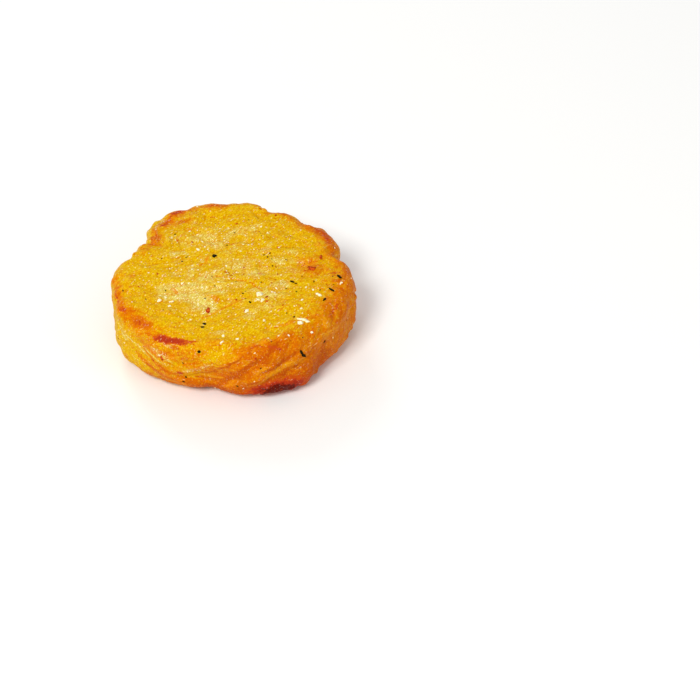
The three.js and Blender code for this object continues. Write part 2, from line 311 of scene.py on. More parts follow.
# ---- Strokes on the top face, laid out flat: (x and y of one end, x and y of the other,
# half-width, strength). The first are shreds that are paler than the rest, or yellower where the
# strength is negative, and the second are thin browned lines. ----
PALE_SHREDS = (
    (-17, 9, -9, 12, 3.0, 0.08),
    (-19, 2, -15.5, 4, 1.8, 0.1),
    (-21, -3, -17, -6, 1.5, 0.14),
    (-12, 2, -9, -5, 2.4, 0.11),
    (-12, -6, -8, -6, 2.2, 0.1),
    (-6, -2, -2.5, -6, 2.0, 0.13),
    (-9, -10, -5, -12.5, 1.7, 0.2),
    (-4, 0, 3.5, 4.5, 1.4, 0.12),
    (1, 1.5, 6.5, -0.5, 1.6, 0.12),
    (6, 4.5, 13, 4, 1.2, 0.11),
    (9.5, -11, 12, -5, 1.8, 0.11),
    (12.5, -8, 16, -9, 1.2, 0.08),
    (-12, -20, -9.5, -22, 1.5, 0.15),
    (-7, -23.5, -1, -23.5, 1.5, 0.15),
    (3, -14.5, 7, -18.5, 1.2, 0.1),
    (0, 7, 4, 13.5, 1.5, 0.07),
    (-6, 17, -1, 19.5, 1.2, 0.08),
    (4, 16, 14.5, 23, 1.4, 0.07),
    (-15.5, 3.5, -12.5, 1.5, 1.6, -0.16),
    (-8.5, 5, -3, 6, 1.4, -0.12),
    (0, -1.5, 6.5, -5, 1.4, -0.12),
    (7.5, -3, 11, 1.5, 1.2, -0.08),
    (5, 13, 17.5, 13, 2.2, -0.08),
    (-1, 22, 3, 22.5, 2.0, -0.1),
    (-23, 2, -20, -4.5, 1.8, -0.12),
)
BROWNED_LINES = (
    (-7.5, -16.5, 2.5, -10, 0.4, 0.7),
    (-4, -1, 3.5, -3, 0.35, 0.6),
    (5, -4, 7.5, -7.5, 0.35, 0.8),
    (-5.5, 6.5, -8.5, 4, 0.7, 0.6),
    (-4.5, -9.5, -3.5, -10, 0.8, 0.8),
    (-14.5, -5, -13.5, -7, 0.5, 0.6),
    (-25, -0.5, -24.5, 0, 0.9, 0.8),
    (11, -15, 17, -11.5, 0.35, 0.7),
    (12.5, -20.5, 24, -16.5, 0.4, 0.6),
    (14, 2, 20, -1, 0.35, 0.6),
    (-3, 13, 5, 10, 0.35, 0.5),
    (8, 8, 15, 10, 0.35, 0.5),
    (-20, -13, -12, -17, 0.35, 0.5),
    (17, 5, 22, 3, 0.35, 0.6),
    (10, -21, 15, -19, 0.4, 0.6),
    (19, -6, 23, -8, 0.35, 0.6),
    (-13, 14, -8, 18, 0.35, 0.5),
)

# ---- How the fat coloured it apart from the patches, partly painted shade on the right ----
# The warm side takes more colour and the far side less: partly the fat's colouring, partly painted
# shade on the side away from the key lamp and painted light on the side towards it.
WARM_SIDE = -30  # azimuth of the side that took most colour
WALL_FRIED = 0.52
WALL_WARMTH = 0.22  # how much more the wall took on the warm side, and less on the other
RIM_FRIED = 0.26  # on the faces beside the rims
RIM_WARMTH = 0.16
RIM_FRIED_WIDTH = 5
DULL_FROM = 15  # distance from a face's middle at which the flesh starts to lose its pallor
DULL_OVER = 20
MOST_DULL = 0.42

# ---- What is finer than the solid ----
CRUST_CUTS = 127  # the crust's mesh is a cube with this many cuts a side, blown up to the puck
PEBBLES = ((2.6, 0.10), (1.3, 0.08), (0.7, 0.05))  # (size, height) of each grade of pebbling
WOBBLE = ((3.5, 0.5), (1.4, 0.22))  # (size, shift) of the wander of a shred's edges
WOBBLE_APART = 40  # offset between the noises that move a point along x, y and z
NARROW_RIM_FEATURES = ((139, -0.9, 2.5), (148.5, 1.2, 3.5))  # as RIM_FEATURES
RIDGE_BLUR = 8  # rounds of blurring that leave the level a ridge is measured from
TONE_BLUR = 3  # the same, for the tone of each shred
SEAM_BLUR = 1  # the same, for the seams between shreds
TONE_STEP = 0.618  # step from shred to shred that spreads their tones evenly over 0 to 1
FIBRE_APART = 7.3  # offset between the shreds in the noise that runs along them


# ======== The puck ========
def puck_at(distance, azimuth):
    """Points and normals of the plain puck at distances along its profile, as arrays."""
    below = distance > MID_WALL
    s = np.where(below, PROFILE_LENGTH - distance, distance)
    turn = np.clip((s - FACE_RADIUS) / ROUNDING, 0, math.pi / 2)
    radius = np.minimum(s, FACE_RADIUS) + ROUNDING * np.sin(turn)
    drop = np.maximum(0, s - FACE_RADIUS - QUARTER_ARC)
    height = THICKNESS - ROUNDING + ROUNDING * np.cos(turn) - drop
    x, y = np.cos(azimuth), np.sin(azimuth)
    points = np.stack([x * radius, y * radius, np.where(below, THICKNESS - height, height)], -1)
    sink = np.where(below, -1, 1) * np.cos(turn)
    return points, np.stack([x * np.sin(turn), y * np.sin(turn), sink], -1)


def nearest_on_puck(p):
    """The point of the puck nearest to p, and the normal there."""
    reach = math.hypot(p[0], p[1])
    inset = min(reach, FACE_RADIUS) / reach if reach > 0 else 0
    level = min(max(p[2], ROUNDING), THICKNESS - ROUNDING)
    core = np.array([p[0] * inset, p[1] * inset, level])
    normal = (p - core) / np.linalg.norm(p - core)
    return core + normal * ROUNDING, normal


def turned(v, axis, angle):
    """v turned about a unit axis."""
    c, s = math.cos(angle), math.sin(angle)
    return v * c + np.cross(axis, v) * s + axis * (axis @ v) * (1 - c)


def draws_from(seed):
    """The CAD source's own random draws."""
    state = seed
    while True:
        state = (state * 1664525 + 1013904223) % 4294967296
        yield state / 4294967296


def between(span, draw):
    """A random number within the span."""
    return span[0] + (span[1] - span[0]) * next(draw)


# ======== The shreds ========
def lay_shred(start, heading, widths, draw):
    """A shred's route over the puck, its half-width, its lift and the phase of its dips."""
    length = between(SHRED_LENGTH, draw)
    bend = SHRED_BEND * (2 * next(draw) - 1)
    half_width = between(widths, draw)
    lift = between(SHRED_LIFT, draw)
    phase = 2 * math.pi * next(draw)
    point, normal = start
    side = np.cross([0, 0, 1], normal)
    if side @ side < 1e-6:
        side = np.array([1.0, 0, 0])
    direction = turned(side / np.linalg.norm(side), normal, heading)
    points = [point]
    walked = 0
    while walked < length:
        point, normal = nearest_on_puck(point + direction * SHRED_STEP)
        direction = direction - normal * (direction @ normal)
        direction = turned(direction / np.linalg.norm(direction), normal, bend * SHRED_STEP)
        points.append(point)
        walked += SHRED_STEP
    return np.array(points), half_width, lift, phase


def lay_face_shred(on_top, draw):
    reach = FACE_RADIUS * math.sqrt(next(draw))
    azimuth = 2 * math.pi * next(draw)
    start = puck_at(np.array(reach if on_top else PROFILE_LENGTH - reach), np.array(azimuth))
    follow = min(max((reach / FACE_RADIUS - FOLLOW_FROM) / (1 - FOLLOW_FROM), 0), 1)
    away = (azimuth + math.pi - FACE_GRAIN) % math.pi - math.pi / 2
    heading = FACE_GRAIN + follow * away + FACE_SPREAD * (2 * next(draw) - 1)
    if next(draw) < STRAY_SHARE:
        heading += math.pi * (next(draw) - 0.5)
    return lay_shred(start, heading + math.pi * math.floor(2 * next(draw)), FACE_HALF_WIDTH, draw)


def lay_wall_shred(draw):
    distance = FACE_RADIUS + (PROFILE_LENGTH - 2 * FACE_RADIUS) * next(draw)
    start = puck_at(np.array(distance), np.array(2 * math.pi * next(draw)))
    heading = WALL_GRAIN + WALL_SPREAD * (2 * next(draw) - 1)
    return lay_shred(start, heading + math.pi * math.floor(2 * next(draw)), WALL_HALF_WIDTH, draw)


def lay_shreds():
    draw = draws_from(SHRED_SEED)
    shreds = [lay_face_shred(True, draw) for _ in range(SHREDS_ON_TOP)]
    shreds += [lay_face_shred(False, draw) for _ in range(SHREDS_UNDERNEATH)]
    return shreds + [lay_wall_shred(draw) for _ in range(SHREDS_ON_WALL)]


def over_shred(shred, points, normals):
    """How high a shred stands over each point, and the point's place along and across it."""
    route, half_width, lift, phase = shred
    first, step = route[:-1], np.diff(route, axis=0)
    rest = points[:, None] - first
    t = np.clip((rest * step).sum(-1) / (step * step).sum(-1), 0, 1)
    gap = rest - t[..., None] * step
    out = (gap * normals[:, None]).sum(-1)
    away = np.sqrt(np.maximum(0, (gap * gap).sum(-1) - out * out))
    nearest = away.argmin(1)
    rows = np.arange(len(points))
    along = (nearest + t[rows, nearest]) * SHRED_STEP
    to_end = np.minimum(along, len(first) * SHRED_STEP - along)
    sunk = END_DROP * np.maximum(0, 1 - to_end / END_TAPER) ** 2
    dip = SHRED_DIP * np.cos(2 * math.pi * along / SHRED_DIP_LENGTH + phase)
    across = away[rows, nearest]
    side = (np.cross(normals, step[nearest]) * gap[rows, nearest]).sum(-1)
    rise = lift + dip - sunk - SHRED_DEPTH * (across / half_width) ** SHRED_SQUARENESS
    return rise, along, across * np.sign(side)


def shred_relief(points, normals):
    """Height over the puck, the shred on top, and each point's place along and across it."""
    shreds = lay_shreds()
    reach = max(WALL_HALF_WIDTH) * SHRED_REACH
    height = np.full(len(points), float(BED_LEVEL))
    top = height.copy()
    owner = np.full(len(points), -1)
    fibre = points.copy()
    for index, shred in enumerate(shreds):
        low, high = shred[0].min(0), shred[0].max(0)
        outside = np.maximum(0, np.maximum(low - points, points - high))
        near = np.flatnonzero((outside * outside).sum(1) <= reach * reach)
        if not len(near):
            continue
        rise, along, across = over_shred(shred, points[near], normals[near])
        share = np.maximum(0, WELD - np.abs(height[near] - rise)) / WELD
        height[near] = np.maximum(height[near], rise) + share * share * WELD / 4
        wins = rise > top[near]
        top[near] = np.where(wins, rise, top[near])
        place = np.stack([along, across, np.full(len(near), index * FIBRE_APART)], -1)
        fibre[near[wins]] = place[wins]
        owner[near[wins]] = index
    return height, owner, fibre


def bumps(points, count, radius, lift, place, seed):
    """The height of so many round bumps at random places, as in the CAD source."""
    draw = draws_from(seed)
    total = np.zeros(len(points))
    for _ in range(count):
        centre, _ = puck_at(np.array(place(next(draw))), np.array(2 * math.pi * next(draw)))
        size = between(radius, draw)
        rise = between(lift, draw)
        away = ((points - centre) ** 2).sum(1) / (size * size)
        near = np.flatnonzero(away < 4)
        total[near] += rise * np.exp(-2 * away[near])
    return total


def anywhere(u):
    """The distance for a random share u, over the whole profile."""
    return PROFILE_LENGTH * u


def near_a_rim(u):
    """The distance for a random share u, on the upper or the lower rim."""
    across = 2 * QUARTER_ARC * ((2 * u) % 1) - QUARTER_ARC * 0.6
    return FACE_RADIUS + across if u < 0.5 else PROFILE_LENGTH - FACE_RADIUS - across


# ======== The uneven whole ========
def offset_at(azimuth, features):
    """How far the features push the outline out at each azimuth."""
    total = np.zeros_like(azimuth)
    for degrees, offset, half_width in features:
        away = (np.degrees(azimuth) - degrees + 180) % 360 - 180
        total += offset * np.exp(-((away / half_width) ** 2))
    return total


def settle(points):
    """Leans and swells the wall, dents the outline, and presses the underside flat on z = 0."""
    level = np.clip(points[:, 2] / THICKNESS, 0, 1)
    azimuth = np.arctan2(points[:, 1], points[:, 0])
    belly = SIDE_BELLY * 4 * level * (1 - level)
    foot = (offset_at(azimuth, FOOT_FEATURES) - DRAFT) * (1 - level)
    rim = offset_at(azimuth, RIM_FEATURES + NARROW_RIM_FEATURES)
    scale = 1 + (rim + belly + foot) / RADIUS
    sag = SAG * np.exp(-(points[:, 0] ** 2 + points[:, 1] ** 2) / SAG_RADIUS**2) * (1 - level)
    height = np.maximum(0, points[:, 2] - sag)
    return np.stack([points[:, 0] * scale, points[:, 1] * scale, height], -1)


# ======== The crust ========
def blown_cube(cuts):
    """A cube's grid mesh, and the direction of each of its vertices from the middle."""
    bm = bmesh.new()
    bmesh.ops.create_cube(bm, size=2)
    bmesh.ops.subdivide_edges(bm, edges=bm.edges[:], cuts=cuts, use_grid_fill=True)
    mesh = bpy.data.meshes.new("rosti_crust")
    bm.to_mesh(mesh)
    bm.free()
    flat = np.empty(len(mesh.vertices) * 3)
    mesh.vertices.foreach_get("co", flat)
    return mesh, np.tan(flat.reshape(-1, 3) * math.pi / 4)


def pebbling(points):
    """The height of the fine roughness at each point."""
    total = np.zeros(len(points))
    for size, height in PEBBLES:
        total += height * np.array([noise.noise(p) for p in points / size])
    return total


def wobbled(points, normals):
    """The points shifted along the surface, so that edges laid over them wander."""
    shift = np.zeros_like(points)
    for size, most in WOBBLE:
        for axis in range(3):
            places = points / size + WOBBLE_APART * (axis + 1)
            shift[:, axis] += most * np.array([noise.noise(p) for p in places])
    return points + shift - normals * (shift * normals).sum(1)[:, None]


def edge_ends(mesh):
    """The vertices at the first and at the second end of each edge."""
    ends = np.empty(2 * len(mesh.edges), dtype=np.int64)
    mesh.edges.foreach_get("vertices", ends)
    return ends[::2], ends[1::2]


def blurred(mesh, values, rounds):
    """The values averaged with their neighbours' on the mesh, so many times over."""
    a, b = edge_ends(mesh)
    size = len(values)
    count = 1 + np.bincount(a, minlength=size) + np.bincount(b, minlength=size)
    for _ in range(rounds):
        total = values + np.bincount(a, values[b], size) + np.bincount(b, values[a], size)
        values = total / count
    return values


def inside_shreds(mesh, owner):
    """1 well inside a shred, and 0 where one meets the next."""
    a, b = edge_ends(mesh)
    meets = owner[a] != owner[b]
    inside = np.ones(len(owner))
    inside[a[meets]] = 0
    inside[b[meets]] = 0
    return blurred(mesh, inside, SEAM_BLUR)


def keep_attribute(mesh, name, values):
    """Stores a number or a vector for each vertex, for the material to read."""
    kind = "FLOAT" if values.ndim == 1 else "FLOAT_VECTOR"
    attribute = mesh.attributes.new(name, kind, "POINT")
    attribute.data.foreach_set("value" if values.ndim == 1 else "vector", values.ravel())


def on_wall(distance):
    """0 on the faces and 1 on the wall, with the rims between."""
    from_face = np.minimum(distance, PROFILE_LENGTH - distance) - FACE_RADIUS
    return np.clip(from_face / QUARTER_ARC, 0, 1)


def patches(distance, azimuth, rows):
    """The sum of the rows' soft ellipses at each place."""
    total = np.zeros(len(distance))
    for degrees, along, half_length, half_width, heading, strength in rows:
        ahead = ((np.degrees(azimuth) - degrees + 180) % 360 - 180) * math.radians(RADIUS)
        down = distance - along
        c, s = math.cos(math.radians(heading)), math.sin(math.radians(heading))
        lengthwise = (ahead * c - down * s) / half_length
        crosswise = (ahead * s + down * c) / half_width
        total += strength * np.exp(-(lengthwise**2 + crosswise**2))
    return total


def strokes(distance, azimuth, rows):
    """The sum of the rows' soft strokes at each place of the top face."""
    x, y = distance * np.cos(azimuth), distance * np.sin(azimuth)
    total = np.zeros(len(distance))
    for x0, y0, x1, y1, half_width, strength in rows:
        run, climb = x1 - x0, y1 - y0
        t = np.clip(((x - x0) * run + (y - y0) * climb) / (run**2 + climb**2), 0, 1)
        away = ((x - x0 - t * run) ** 2 + (y - y0 - t * climb) ** 2) / half_width**2
        total += strength * np.exp(-away)
    return total


def browning(distance, azimuth):
    """How far the fat has coloured each place, with painted shade: most on the wall and the rims,
    more on the warm side, and in patches.
    """
    from_rim = np.minimum(np.abs(distance - RIM), np.abs(PROFILE_LENGTH - distance - RIM))
    wall = on_wall(distance)
    # warm_side is partly painted shade: more colour on the side away from the key lamp.
    warm_side = np.cos(azimuth - math.radians(WARM_SIDE))
    fried = wall * (WALL_FRIED + WALL_WARMTH * warm_side)
    rim = (RIM_FRIED + RIM_WARMTH * warm_side) * np.exp(-((from_rim / RIM_FRIED_WIDTH) ** 2))
    fried += rim * (1 - wall)
    return fried + patches(distance, azimuth, BROWN_PATCHES)


def dullness(distance):
    """How much of the flesh's pallor the fat has taken, more from the faces' edges to the wall."""
    from_middle = np.minimum(distance, PROFILE_LENGTH - distance)
    return MOST_DULL * np.clip((from_middle - DULL_FROM) / DULL_OVER, 0, 1)


def rosti_crust():
    """The crust's mesh, and the point of the CAD source's puck that became its origin."""
    mesh, directions = blown_cube(CRUST_CUTS)
    polar = np.arctan2(np.hypot(directions[:, 0], directions[:, 1]), directions[:, 2])
    azimuth = np.arctan2(directions[:, 1], directions[:, 0])
    distance = polar / math.pi * PROFILE_LENGTH
    points, normals = puck_at(distance, azimuth)
    height, owner, fibre = shred_relief(wobbled(points, normals), normals)
    height += bumps(points, SWELLS, SWELL_RADIUS, SWELL_LIFT, anywhere, SWELL_SEED)
    height += bumps(points, CRUMBS, CRUMB_RADIUS, CRUMB_LIFT, near_a_rim, CRUMB_SEED)
    height += pebbling(points)
    placed = settle(points + normals * height[:, None])
    low, high = placed.min(0), placed.max(0)
    origin = np.array([(low[0] + high[0]) / 2, (low[1] + high[1]) / 2, low[2]])
    placed -= origin
    mesh.vertices.foreach_set("co", (placed * MM).ravel())
    keep_attribute(mesh, "ridge", height - blurred(mesh, height, RIDGE_BLUR))
    keep_attribute(mesh, "inside", inside_shreds(mesh, owner))
    keep_attribute(mesh, "tone", blurred(mesh, owner * TONE_STEP % 1, TONE_BLUR))
    keep_attribute(mesh, "fibre", fibre)
    keep_attribute(mesh, "fried", browning(distance, azimuth))
    keep_attribute(mesh, "scorch", patches(distance, azimuth, SCORCHES))
    # The pale patches hold both the flesh's pallor and painted highlight streaks.
    pale = patches(distance, azimuth, PALE_AND_HIGHLIGHT_PATCHES) - dullness(distance)
    keep_attribute(mesh, "pale", pale + strokes(distance, azimuth, PALE_SHREDS))
    keep_attribute(mesh, "line", strokes(distance, azimuth, BROWNED_LINES))
    mesh.update()
    mesh.shade_smooth()
    return mesh, origin


# ======== Materials ========
def srgb(*levels):
    """A colour given as 0 to 255 levels, as linear light."""
    share = [level / 255 for level in levels]
    return tuple(v / 12.92 if v < 0.04045 else ((v + 0.055) / 1.055) ** 2.4 for v in share) + (1,)


# The colours of the crust.
FLESH = srgb(220, 176, 0)
PALE_FLESH = srgb(223, 206, 94)
STREAK = srgb(212, 154, 0)
DEEPER_SHRED = srgb(210, 150, 0)
# The next two are painted light on the crests and painted shade in the crevices.
LIT_CREST = srgb(228, 198, 70)
CREVICE_SHADE = srgb(208, 136, 0)
SEAM = srgb(216, 124, 0)
HAIRLINE = srgb(214, 120, 0)
BROWNED_LINE = srgb(222, 124, 4)
FRIED = srgb(214, 108, 0)
DARK_STRAND = srgb(200, 94, 2)
LIGHT_STRAND = srgb(234, 156, 20)
BROWNED = srgb(184, 72, 8)
RUST = srgb(202, 78, 6)
THREAD = srgb(200, 80, 8)
LIGHT_GRAIN = srgb(246, 214, 44)
# The palest grain is partly painted highlight.
PALE_GRAIN_AND_GLINT = srgb(255, 246, 190)
DARK_GRAIN = srgb(198, 122, 0)
SCORCH = srgb(196, 76, 20)
RED_SCORCH = srgb(170, 46, 26)
# The darkest scorch, which at the right foot is mostly painted shadow.
SCORCH_AND_FOOT_SHADOW = srgb(84, 14, 8)
# Partly starch, partly painted highlight.
STARCH_AND_GLINT = srgb(255, 246, 210)
RED_FLECK = srgb(206, 92, 4)
# Painted highlight: the colour of glints.
PAINTED_GLINT = srgb(250, 228, 160)
OILY_GLOSS = srgb(255, 214, 110)


class Shader:
    """A material's node tree, with one short call for each kind of node."""

    def __init__(self, name):
        self.material = bpy.data.materials.new(name)
        self.material.use_nodes = True
        self.tree = self.material.node_tree
        self.surface = self.tree.nodes["Principled BSDF"]
        self.place = self.tree.nodes.new("ShaderNodeTexCoord").outputs["Object"]

    def put(self, socket, value):
        """Links the socket to another, or sets it to a value."""
        if isinstance(value, bpy.types.NodeSocket):
            self.tree.links.new(value, socket)
        else:
            socket.default_value = value

    def attribute(self, name, output="Fac"):
        node = self.tree.nodes.new("ShaderNodeAttribute")
        node.attribute_name = name
        return node.outputs[output]

    def noise(self, size_mm, detail=2, roughness=0.5, distortion=0, place=None):
        """Noise of that size over the object, or over another place given in millimetres."""
        node = self.tree.nodes.new("ShaderNodeTexNoise")
        self.put(node.inputs["Vector"], place or self.place)
        node.inputs["Scale"].default_value = 1 / (size_mm * (MM if place is None else 1))
        node.inputs["Detail"].default_value = detail
        node.inputs["Roughness"].default_value = roughness
        node.inputs["Distortion"].default_value = distortion
        return node.outputs["Fac"]

    def stretched(self, vector, scale):
        node = self.tree.nodes.new("ShaderNodeVectorMath")
        node.operation = "MULTIPLY"
        self.put(node.inputs[0], vector)
        node.inputs[1].default_value = scale
        return node.outputs[0]

    def slanting(self, degrees, stretch):
        """The place in millimetres, for a pattern drawn out along a heading over the floor."""
        node = self.tree.nodes.new("ShaderNodeMapping")
        node.vector_type = "TEXTURE"
        self.put(node.inputs["Vector"], self.place)
        node.inputs["Rotation"].default_value = (0, 0, math.radians(degrees))
        node.inputs["Scale"].default_value = (stretch * MM, MM, MM)
        return node.outputs["Vector"]

    def ramp(self, value, low, high, to_low=0.0, to_high=1.0):
        """Smoothly from to_low at low to to_high at high."""
        node = self.tree.nodes.new("ShaderNodeMapRange")
        node.interpolation_type = "SMOOTHSTEP"
        self.put(node.inputs["Value"], value)
        node.inputs["From Min"].default_value = low
        node.inputs["From Max"].default_value = high
        node.inputs["To Min"].default_value = to_low
        node.inputs["To Max"].default_value = to_high
        return node.outputs["Result"]

    def math(self, operation, a, b=0.0):
        node = self.tree.nodes.new("ShaderNodeMath")
        node.operation = operation
        self.put(node.inputs[0], a)
        self.put(node.inputs[1], b)
        return node.outputs[0]

    def sum(self, a, b):
        return self.math("ADD", a, b)

    def times(self, a, b):
        return self.math("MULTIPLY", a, b)

    def centred(self, value):
        """Noise, which lies around 0.5, moved to lie around 0."""
        return self.sum(value, -0.5)

    def mix(self, factor, a, b):
        """From colour a at 0 to colour b at 1."""
        node = self.tree.nodes.new("ShaderNodeMix")
        node.data_type = "RGBA"
        self.put(node.inputs["Factor"], factor)
        self.put(node.inputs[6], a)  # the node has an A, a B and a Result for each kind of
        self.put(node.inputs[7], b)  # data, and these are the colours
        return node.outputs[2]

    def bump(self, height, distance_mm, normal=None):
        node = self.tree.nodes.new("ShaderNodeBump")
        node.inputs["Strength"].default_value = 1
        node.inputs["Distance"].default_value = distance_mm * MM
        self.put(node.inputs["Height"], height)
        if normal is not None:
            self.put(node.inputs["Normal"], normal)
        return node.outputs["Normal"]


def fried_crust():
    """The crust's material: the flesh, what the fat made of it, the grain over both, and painted
    light and shade.
    """
    s = Shader("fried_potato")
    fried = s.attribute("fried")
    scorch = s.attribute("scorch")
    ridge = s.attribute("ridge")
    tone = s.attribute("tone")
    inside = s.attribute("inside")
    fibre = s.attribute("fibre", "Vector")

    def along_shreds(detail, scale):
        """Noise that follows the shreds, and is even where they meet."""
        free = s.noise(1.0, detail, 0.6, 0, s.stretched(fibre, scale))
        return s.sum(s.times(s.centred(free), inside), 0.5)

    stretches = along_shreds(2, (0.08, 0.4, 1))
    streaks = along_shreds(3, (0.25, 1.5, 1))
    threads = along_shreds(2, (0.16, 1.8, 1))
    painted_glint_dashes = along_shreds(1, (0.5, 2.2, 1))
    broad = s.noise(7, 2, 0.5, 0.8)
    blotches = s.noise(3.4, 2, 0.5, 0.6)
    middling = s.noise(2.6, 3, 0.65, 1.5)
    wandering = s.noise(3.4, 2, 0.6, 0.6)
    rusty = s.noise(0.9, 2, 0.8, 1.0)
    fine = s.noise(1.0, 3, 0.7, 0.8)
    grain = s.noise(0.30, 1, 0.6, 0, s.slanting(50, 1.8))
    flecks = s.noise(0.42, 1, 0.6, 0, s.slanting(50, 1.9))

    # The flesh, paler in patches, with painted light on its crests, painted shade in its crevices,
    # and its seams and hairlines.
    broken = s.sum(s.centred(middling), s.times(s.centred(streaks), 0.8))
    paleness = s.sum(s.sum(s.times(broad, 0.6), s.times(blotches, 0.5)), s.attribute("pale"))
    paleness = s.sum(paleness, s.sum(s.times(tone, 0.15), s.times(stretches, 0.45)))
    pale = s.ramp(s.sum(paleness, s.times(broken, 0.2)), 0.76, 1.08)
    flesh = s.mix(pale, FLESH, PALE_FLESH)
    flesh = s.mix(s.times(s.ramp(streaks, 0.45, 0.68), 0.25), flesh, STREAK)
    flesh = s.mix(s.times(s.ramp(tone, 0.55, 0.85), 0.25), flesh, DEEPER_SHRED)
    # Painted light: paler where the relief stands above its blurred level, as if the crests were
    # lit.
    flesh = s.mix(s.times(s.ramp(ridge, 0.0, 0.14), 0.15), flesh, LIT_CREST)
    # Painted shade: a deeper orange in the crevices, below the blurred level, broken up by noise.
    painted_crevice_shade = s.ramp(s.sum(s.times(ridge, -6), s.times(s.centred(middling), 2.2)), 0.15, 0.7)
    flesh = s.mix(s.times(painted_crevice_shade, 0.3), flesh, CREVICE_SHADE)
    here_and_there = s.ramp(s.sum(middling, s.times(fine, 0.6)), 0.75, 0.86)
    seam = s.times(s.ramp(inside, 0.7, 0.2), here_and_there)
    flesh = s.mix(s.times(seam, 0.35), flesh, SEAM)
    off_line = s.math("ABSOLUTE", s.centred(wandering))
    lining = s.times(s.ramp(off_line, 0.024, 0.004), s.ramp(fine, 0.46, 0.58))
    flesh = s.mix(s.times(lining, 0.5), flesh, HAIRLINE)
    lined = s.ramp(s.sum(s.attribute("line"), s.times(s.centred(fine), 1.2)), 0.25, 0.6)
    flesh = s.mix(s.times(lined, 0.75), flesh, BROWNED_LINE)

    # What the fat coloured, more along some strands than others; the darker and lighter strands
    # also paint the shade and light between the wall's ribbons.
    fried_here = s.sum(s.sum(fried, s.times(broken, 1.1)), s.times(ridge, 0.5))
    ragged = s.times(s.centred(rusty), s.ramp(fried, 0.1, 0.5))
    fried_here = s.sum(fried_here, ragged)
    coloured = s.mix(s.times(s.ramp(fried_here, 0.05, 0.9), 0.95), flesh, FRIED)
    # Darker and lighter strands where browned: partly their own colour, partly painted shade and
    # painted light across the wall's ribbons.
    dark_strand = s.times(s.ramp(stretches, 0.50, 0.38), s.ramp(fried, 0.2, 0.6, 0.0, 0.85))
    coloured = s.mix(dark_strand, coloured, DARK_STRAND)
    light_strand = s.times(s.ramp(stretches, 0.52, 0.66), s.ramp(fried, 0.2, 0.6, 0.0, 0.65))
    coloured = s.mix(light_strand, coloured, LIGHT_STRAND)
    browner = s.ramp(s.sum(fried, s.sum(s.times(broken, 1.6), s.centred(fine))), 0.8, 1.5)
    coloured = s.mix(s.times(browner, 0.9), coloured, BROWNED)
    rust = s.times(s.ramp(rusty, 0.60, 0.69), s.ramp(fried_here, -0.1, 0.5, 0.4, 0.85))
    coloured = s.mix(rust, coloured, RUST)
    thready = s.times(s.ramp(threads, 0.61, 0.68), s.ramp(fried_here, -0.1, 0.4, 0.0, 0.7))
    coloured = s.mix(thready, coloured, THREAD)

    # The grain, then the scorches and the painted shadow at the foot over it, and last the starch,
    # the flecks and the painted glints.
    speckled = s.ramp(fried_here, 0.1, 0.8, 0.55, 0.22)
    # The lighter grain, whose palest specks also stand in for fine glints as painted highlight.
    lighter_grain_and_glint = s.mix(pale, LIGHT_GRAIN, PALE_GRAIN_AND_GLINT)
    coloured = s.mix(s.times(s.ramp(grain, 0.56, 0.66), speckled), coloured, lighter_grain_and_glint)
    coloured = s.mix(s.times(s.ramp(grain, 0.46, 0.36), speckled), coloured, DARK_GRAIN)
    frayed = s.sum(s.times(broken, 1.3), s.times(s.centred(fine), 1.8))
    scorched = s.sum(scorch, s.times(frayed, s.ramp(scorch, 0.1, 0.5)))
    coloured = s.mix(s.ramp(scorched, 0.42, 0.62, 0.0, 0.9), coloured, SCORCH)
    coloured = s.mix(s.ramp(scorched, 0.75, 1.05, 0.0, 0.9), coloured, RED_SCORCH)
    # Darkest: the deepest scorch, which at the right foot is mostly painted shadow.
    coloured = s.mix(s.ramp(scorched, 1.3, 1.9, 0.0, 0.9), coloured, SCORCH_AND_FOOT_SHADOW)
    # Starch flecks, which also stand in for glints: partly the flesh's own starch, partly painted
    # highlight.
    starch_and_glint = s.ramp(s.math("SUBTRACT", pale, fried), -0.5, 0.6, 0.2, 1.0)
    starch_and_glint = s.times(s.ramp(flecks, 0.66, 0.71), starch_and_glint)
    coloured = s.mix(starch_and_glint, coloured, STARCH_AND_GLINT)
    coloured = s.mix(s.ramp(flecks, 0.34, 0.30, 0.0, 0.5), coloured, RED_FLECK)
    # Painted highlights: pale dashes along the shreds, kept off the browned places.
    painted_glint = s.times(s.ramp(painted_glint_dashes, 0.68, 0.78), s.ramp(browner, 0.5, 0.0, 0.0, 0.5))
    coloured = s.mix(painted_glint, coloured, PAINTED_GLINT)

    s.put(s.surface.inputs["Base Color"], coloured)
    s.put(s.surface.inputs["Roughness"], s.ramp(fine, 0.3, 0.7, 0.5, 0.3))
    s.surface.inputs["Subsurface Weight"].default_value = 0.12
    s.surface.inputs["Subsurface Radius"].default_value = (1.0, 0.6, 0.15)
    s.surface.inputs["Subsurface Scale"].default_value = 1.0 * MM
    s.surface.inputs["IOR"].default_value = 1.4
    s.surface.inputs["Specular IOR Level"].default_value = 0.03
    s.surface.inputs["Specular Tint"].default_value = OILY_GLOSS
    normal = s.bump(fine, 0.22)
    normal = s.bump(grain, 0.08, normal)
    normal = s.bump(streaks, 0.1, normal)
    s.put(s.surface.inputs["Normal"], normal)
    return s.material


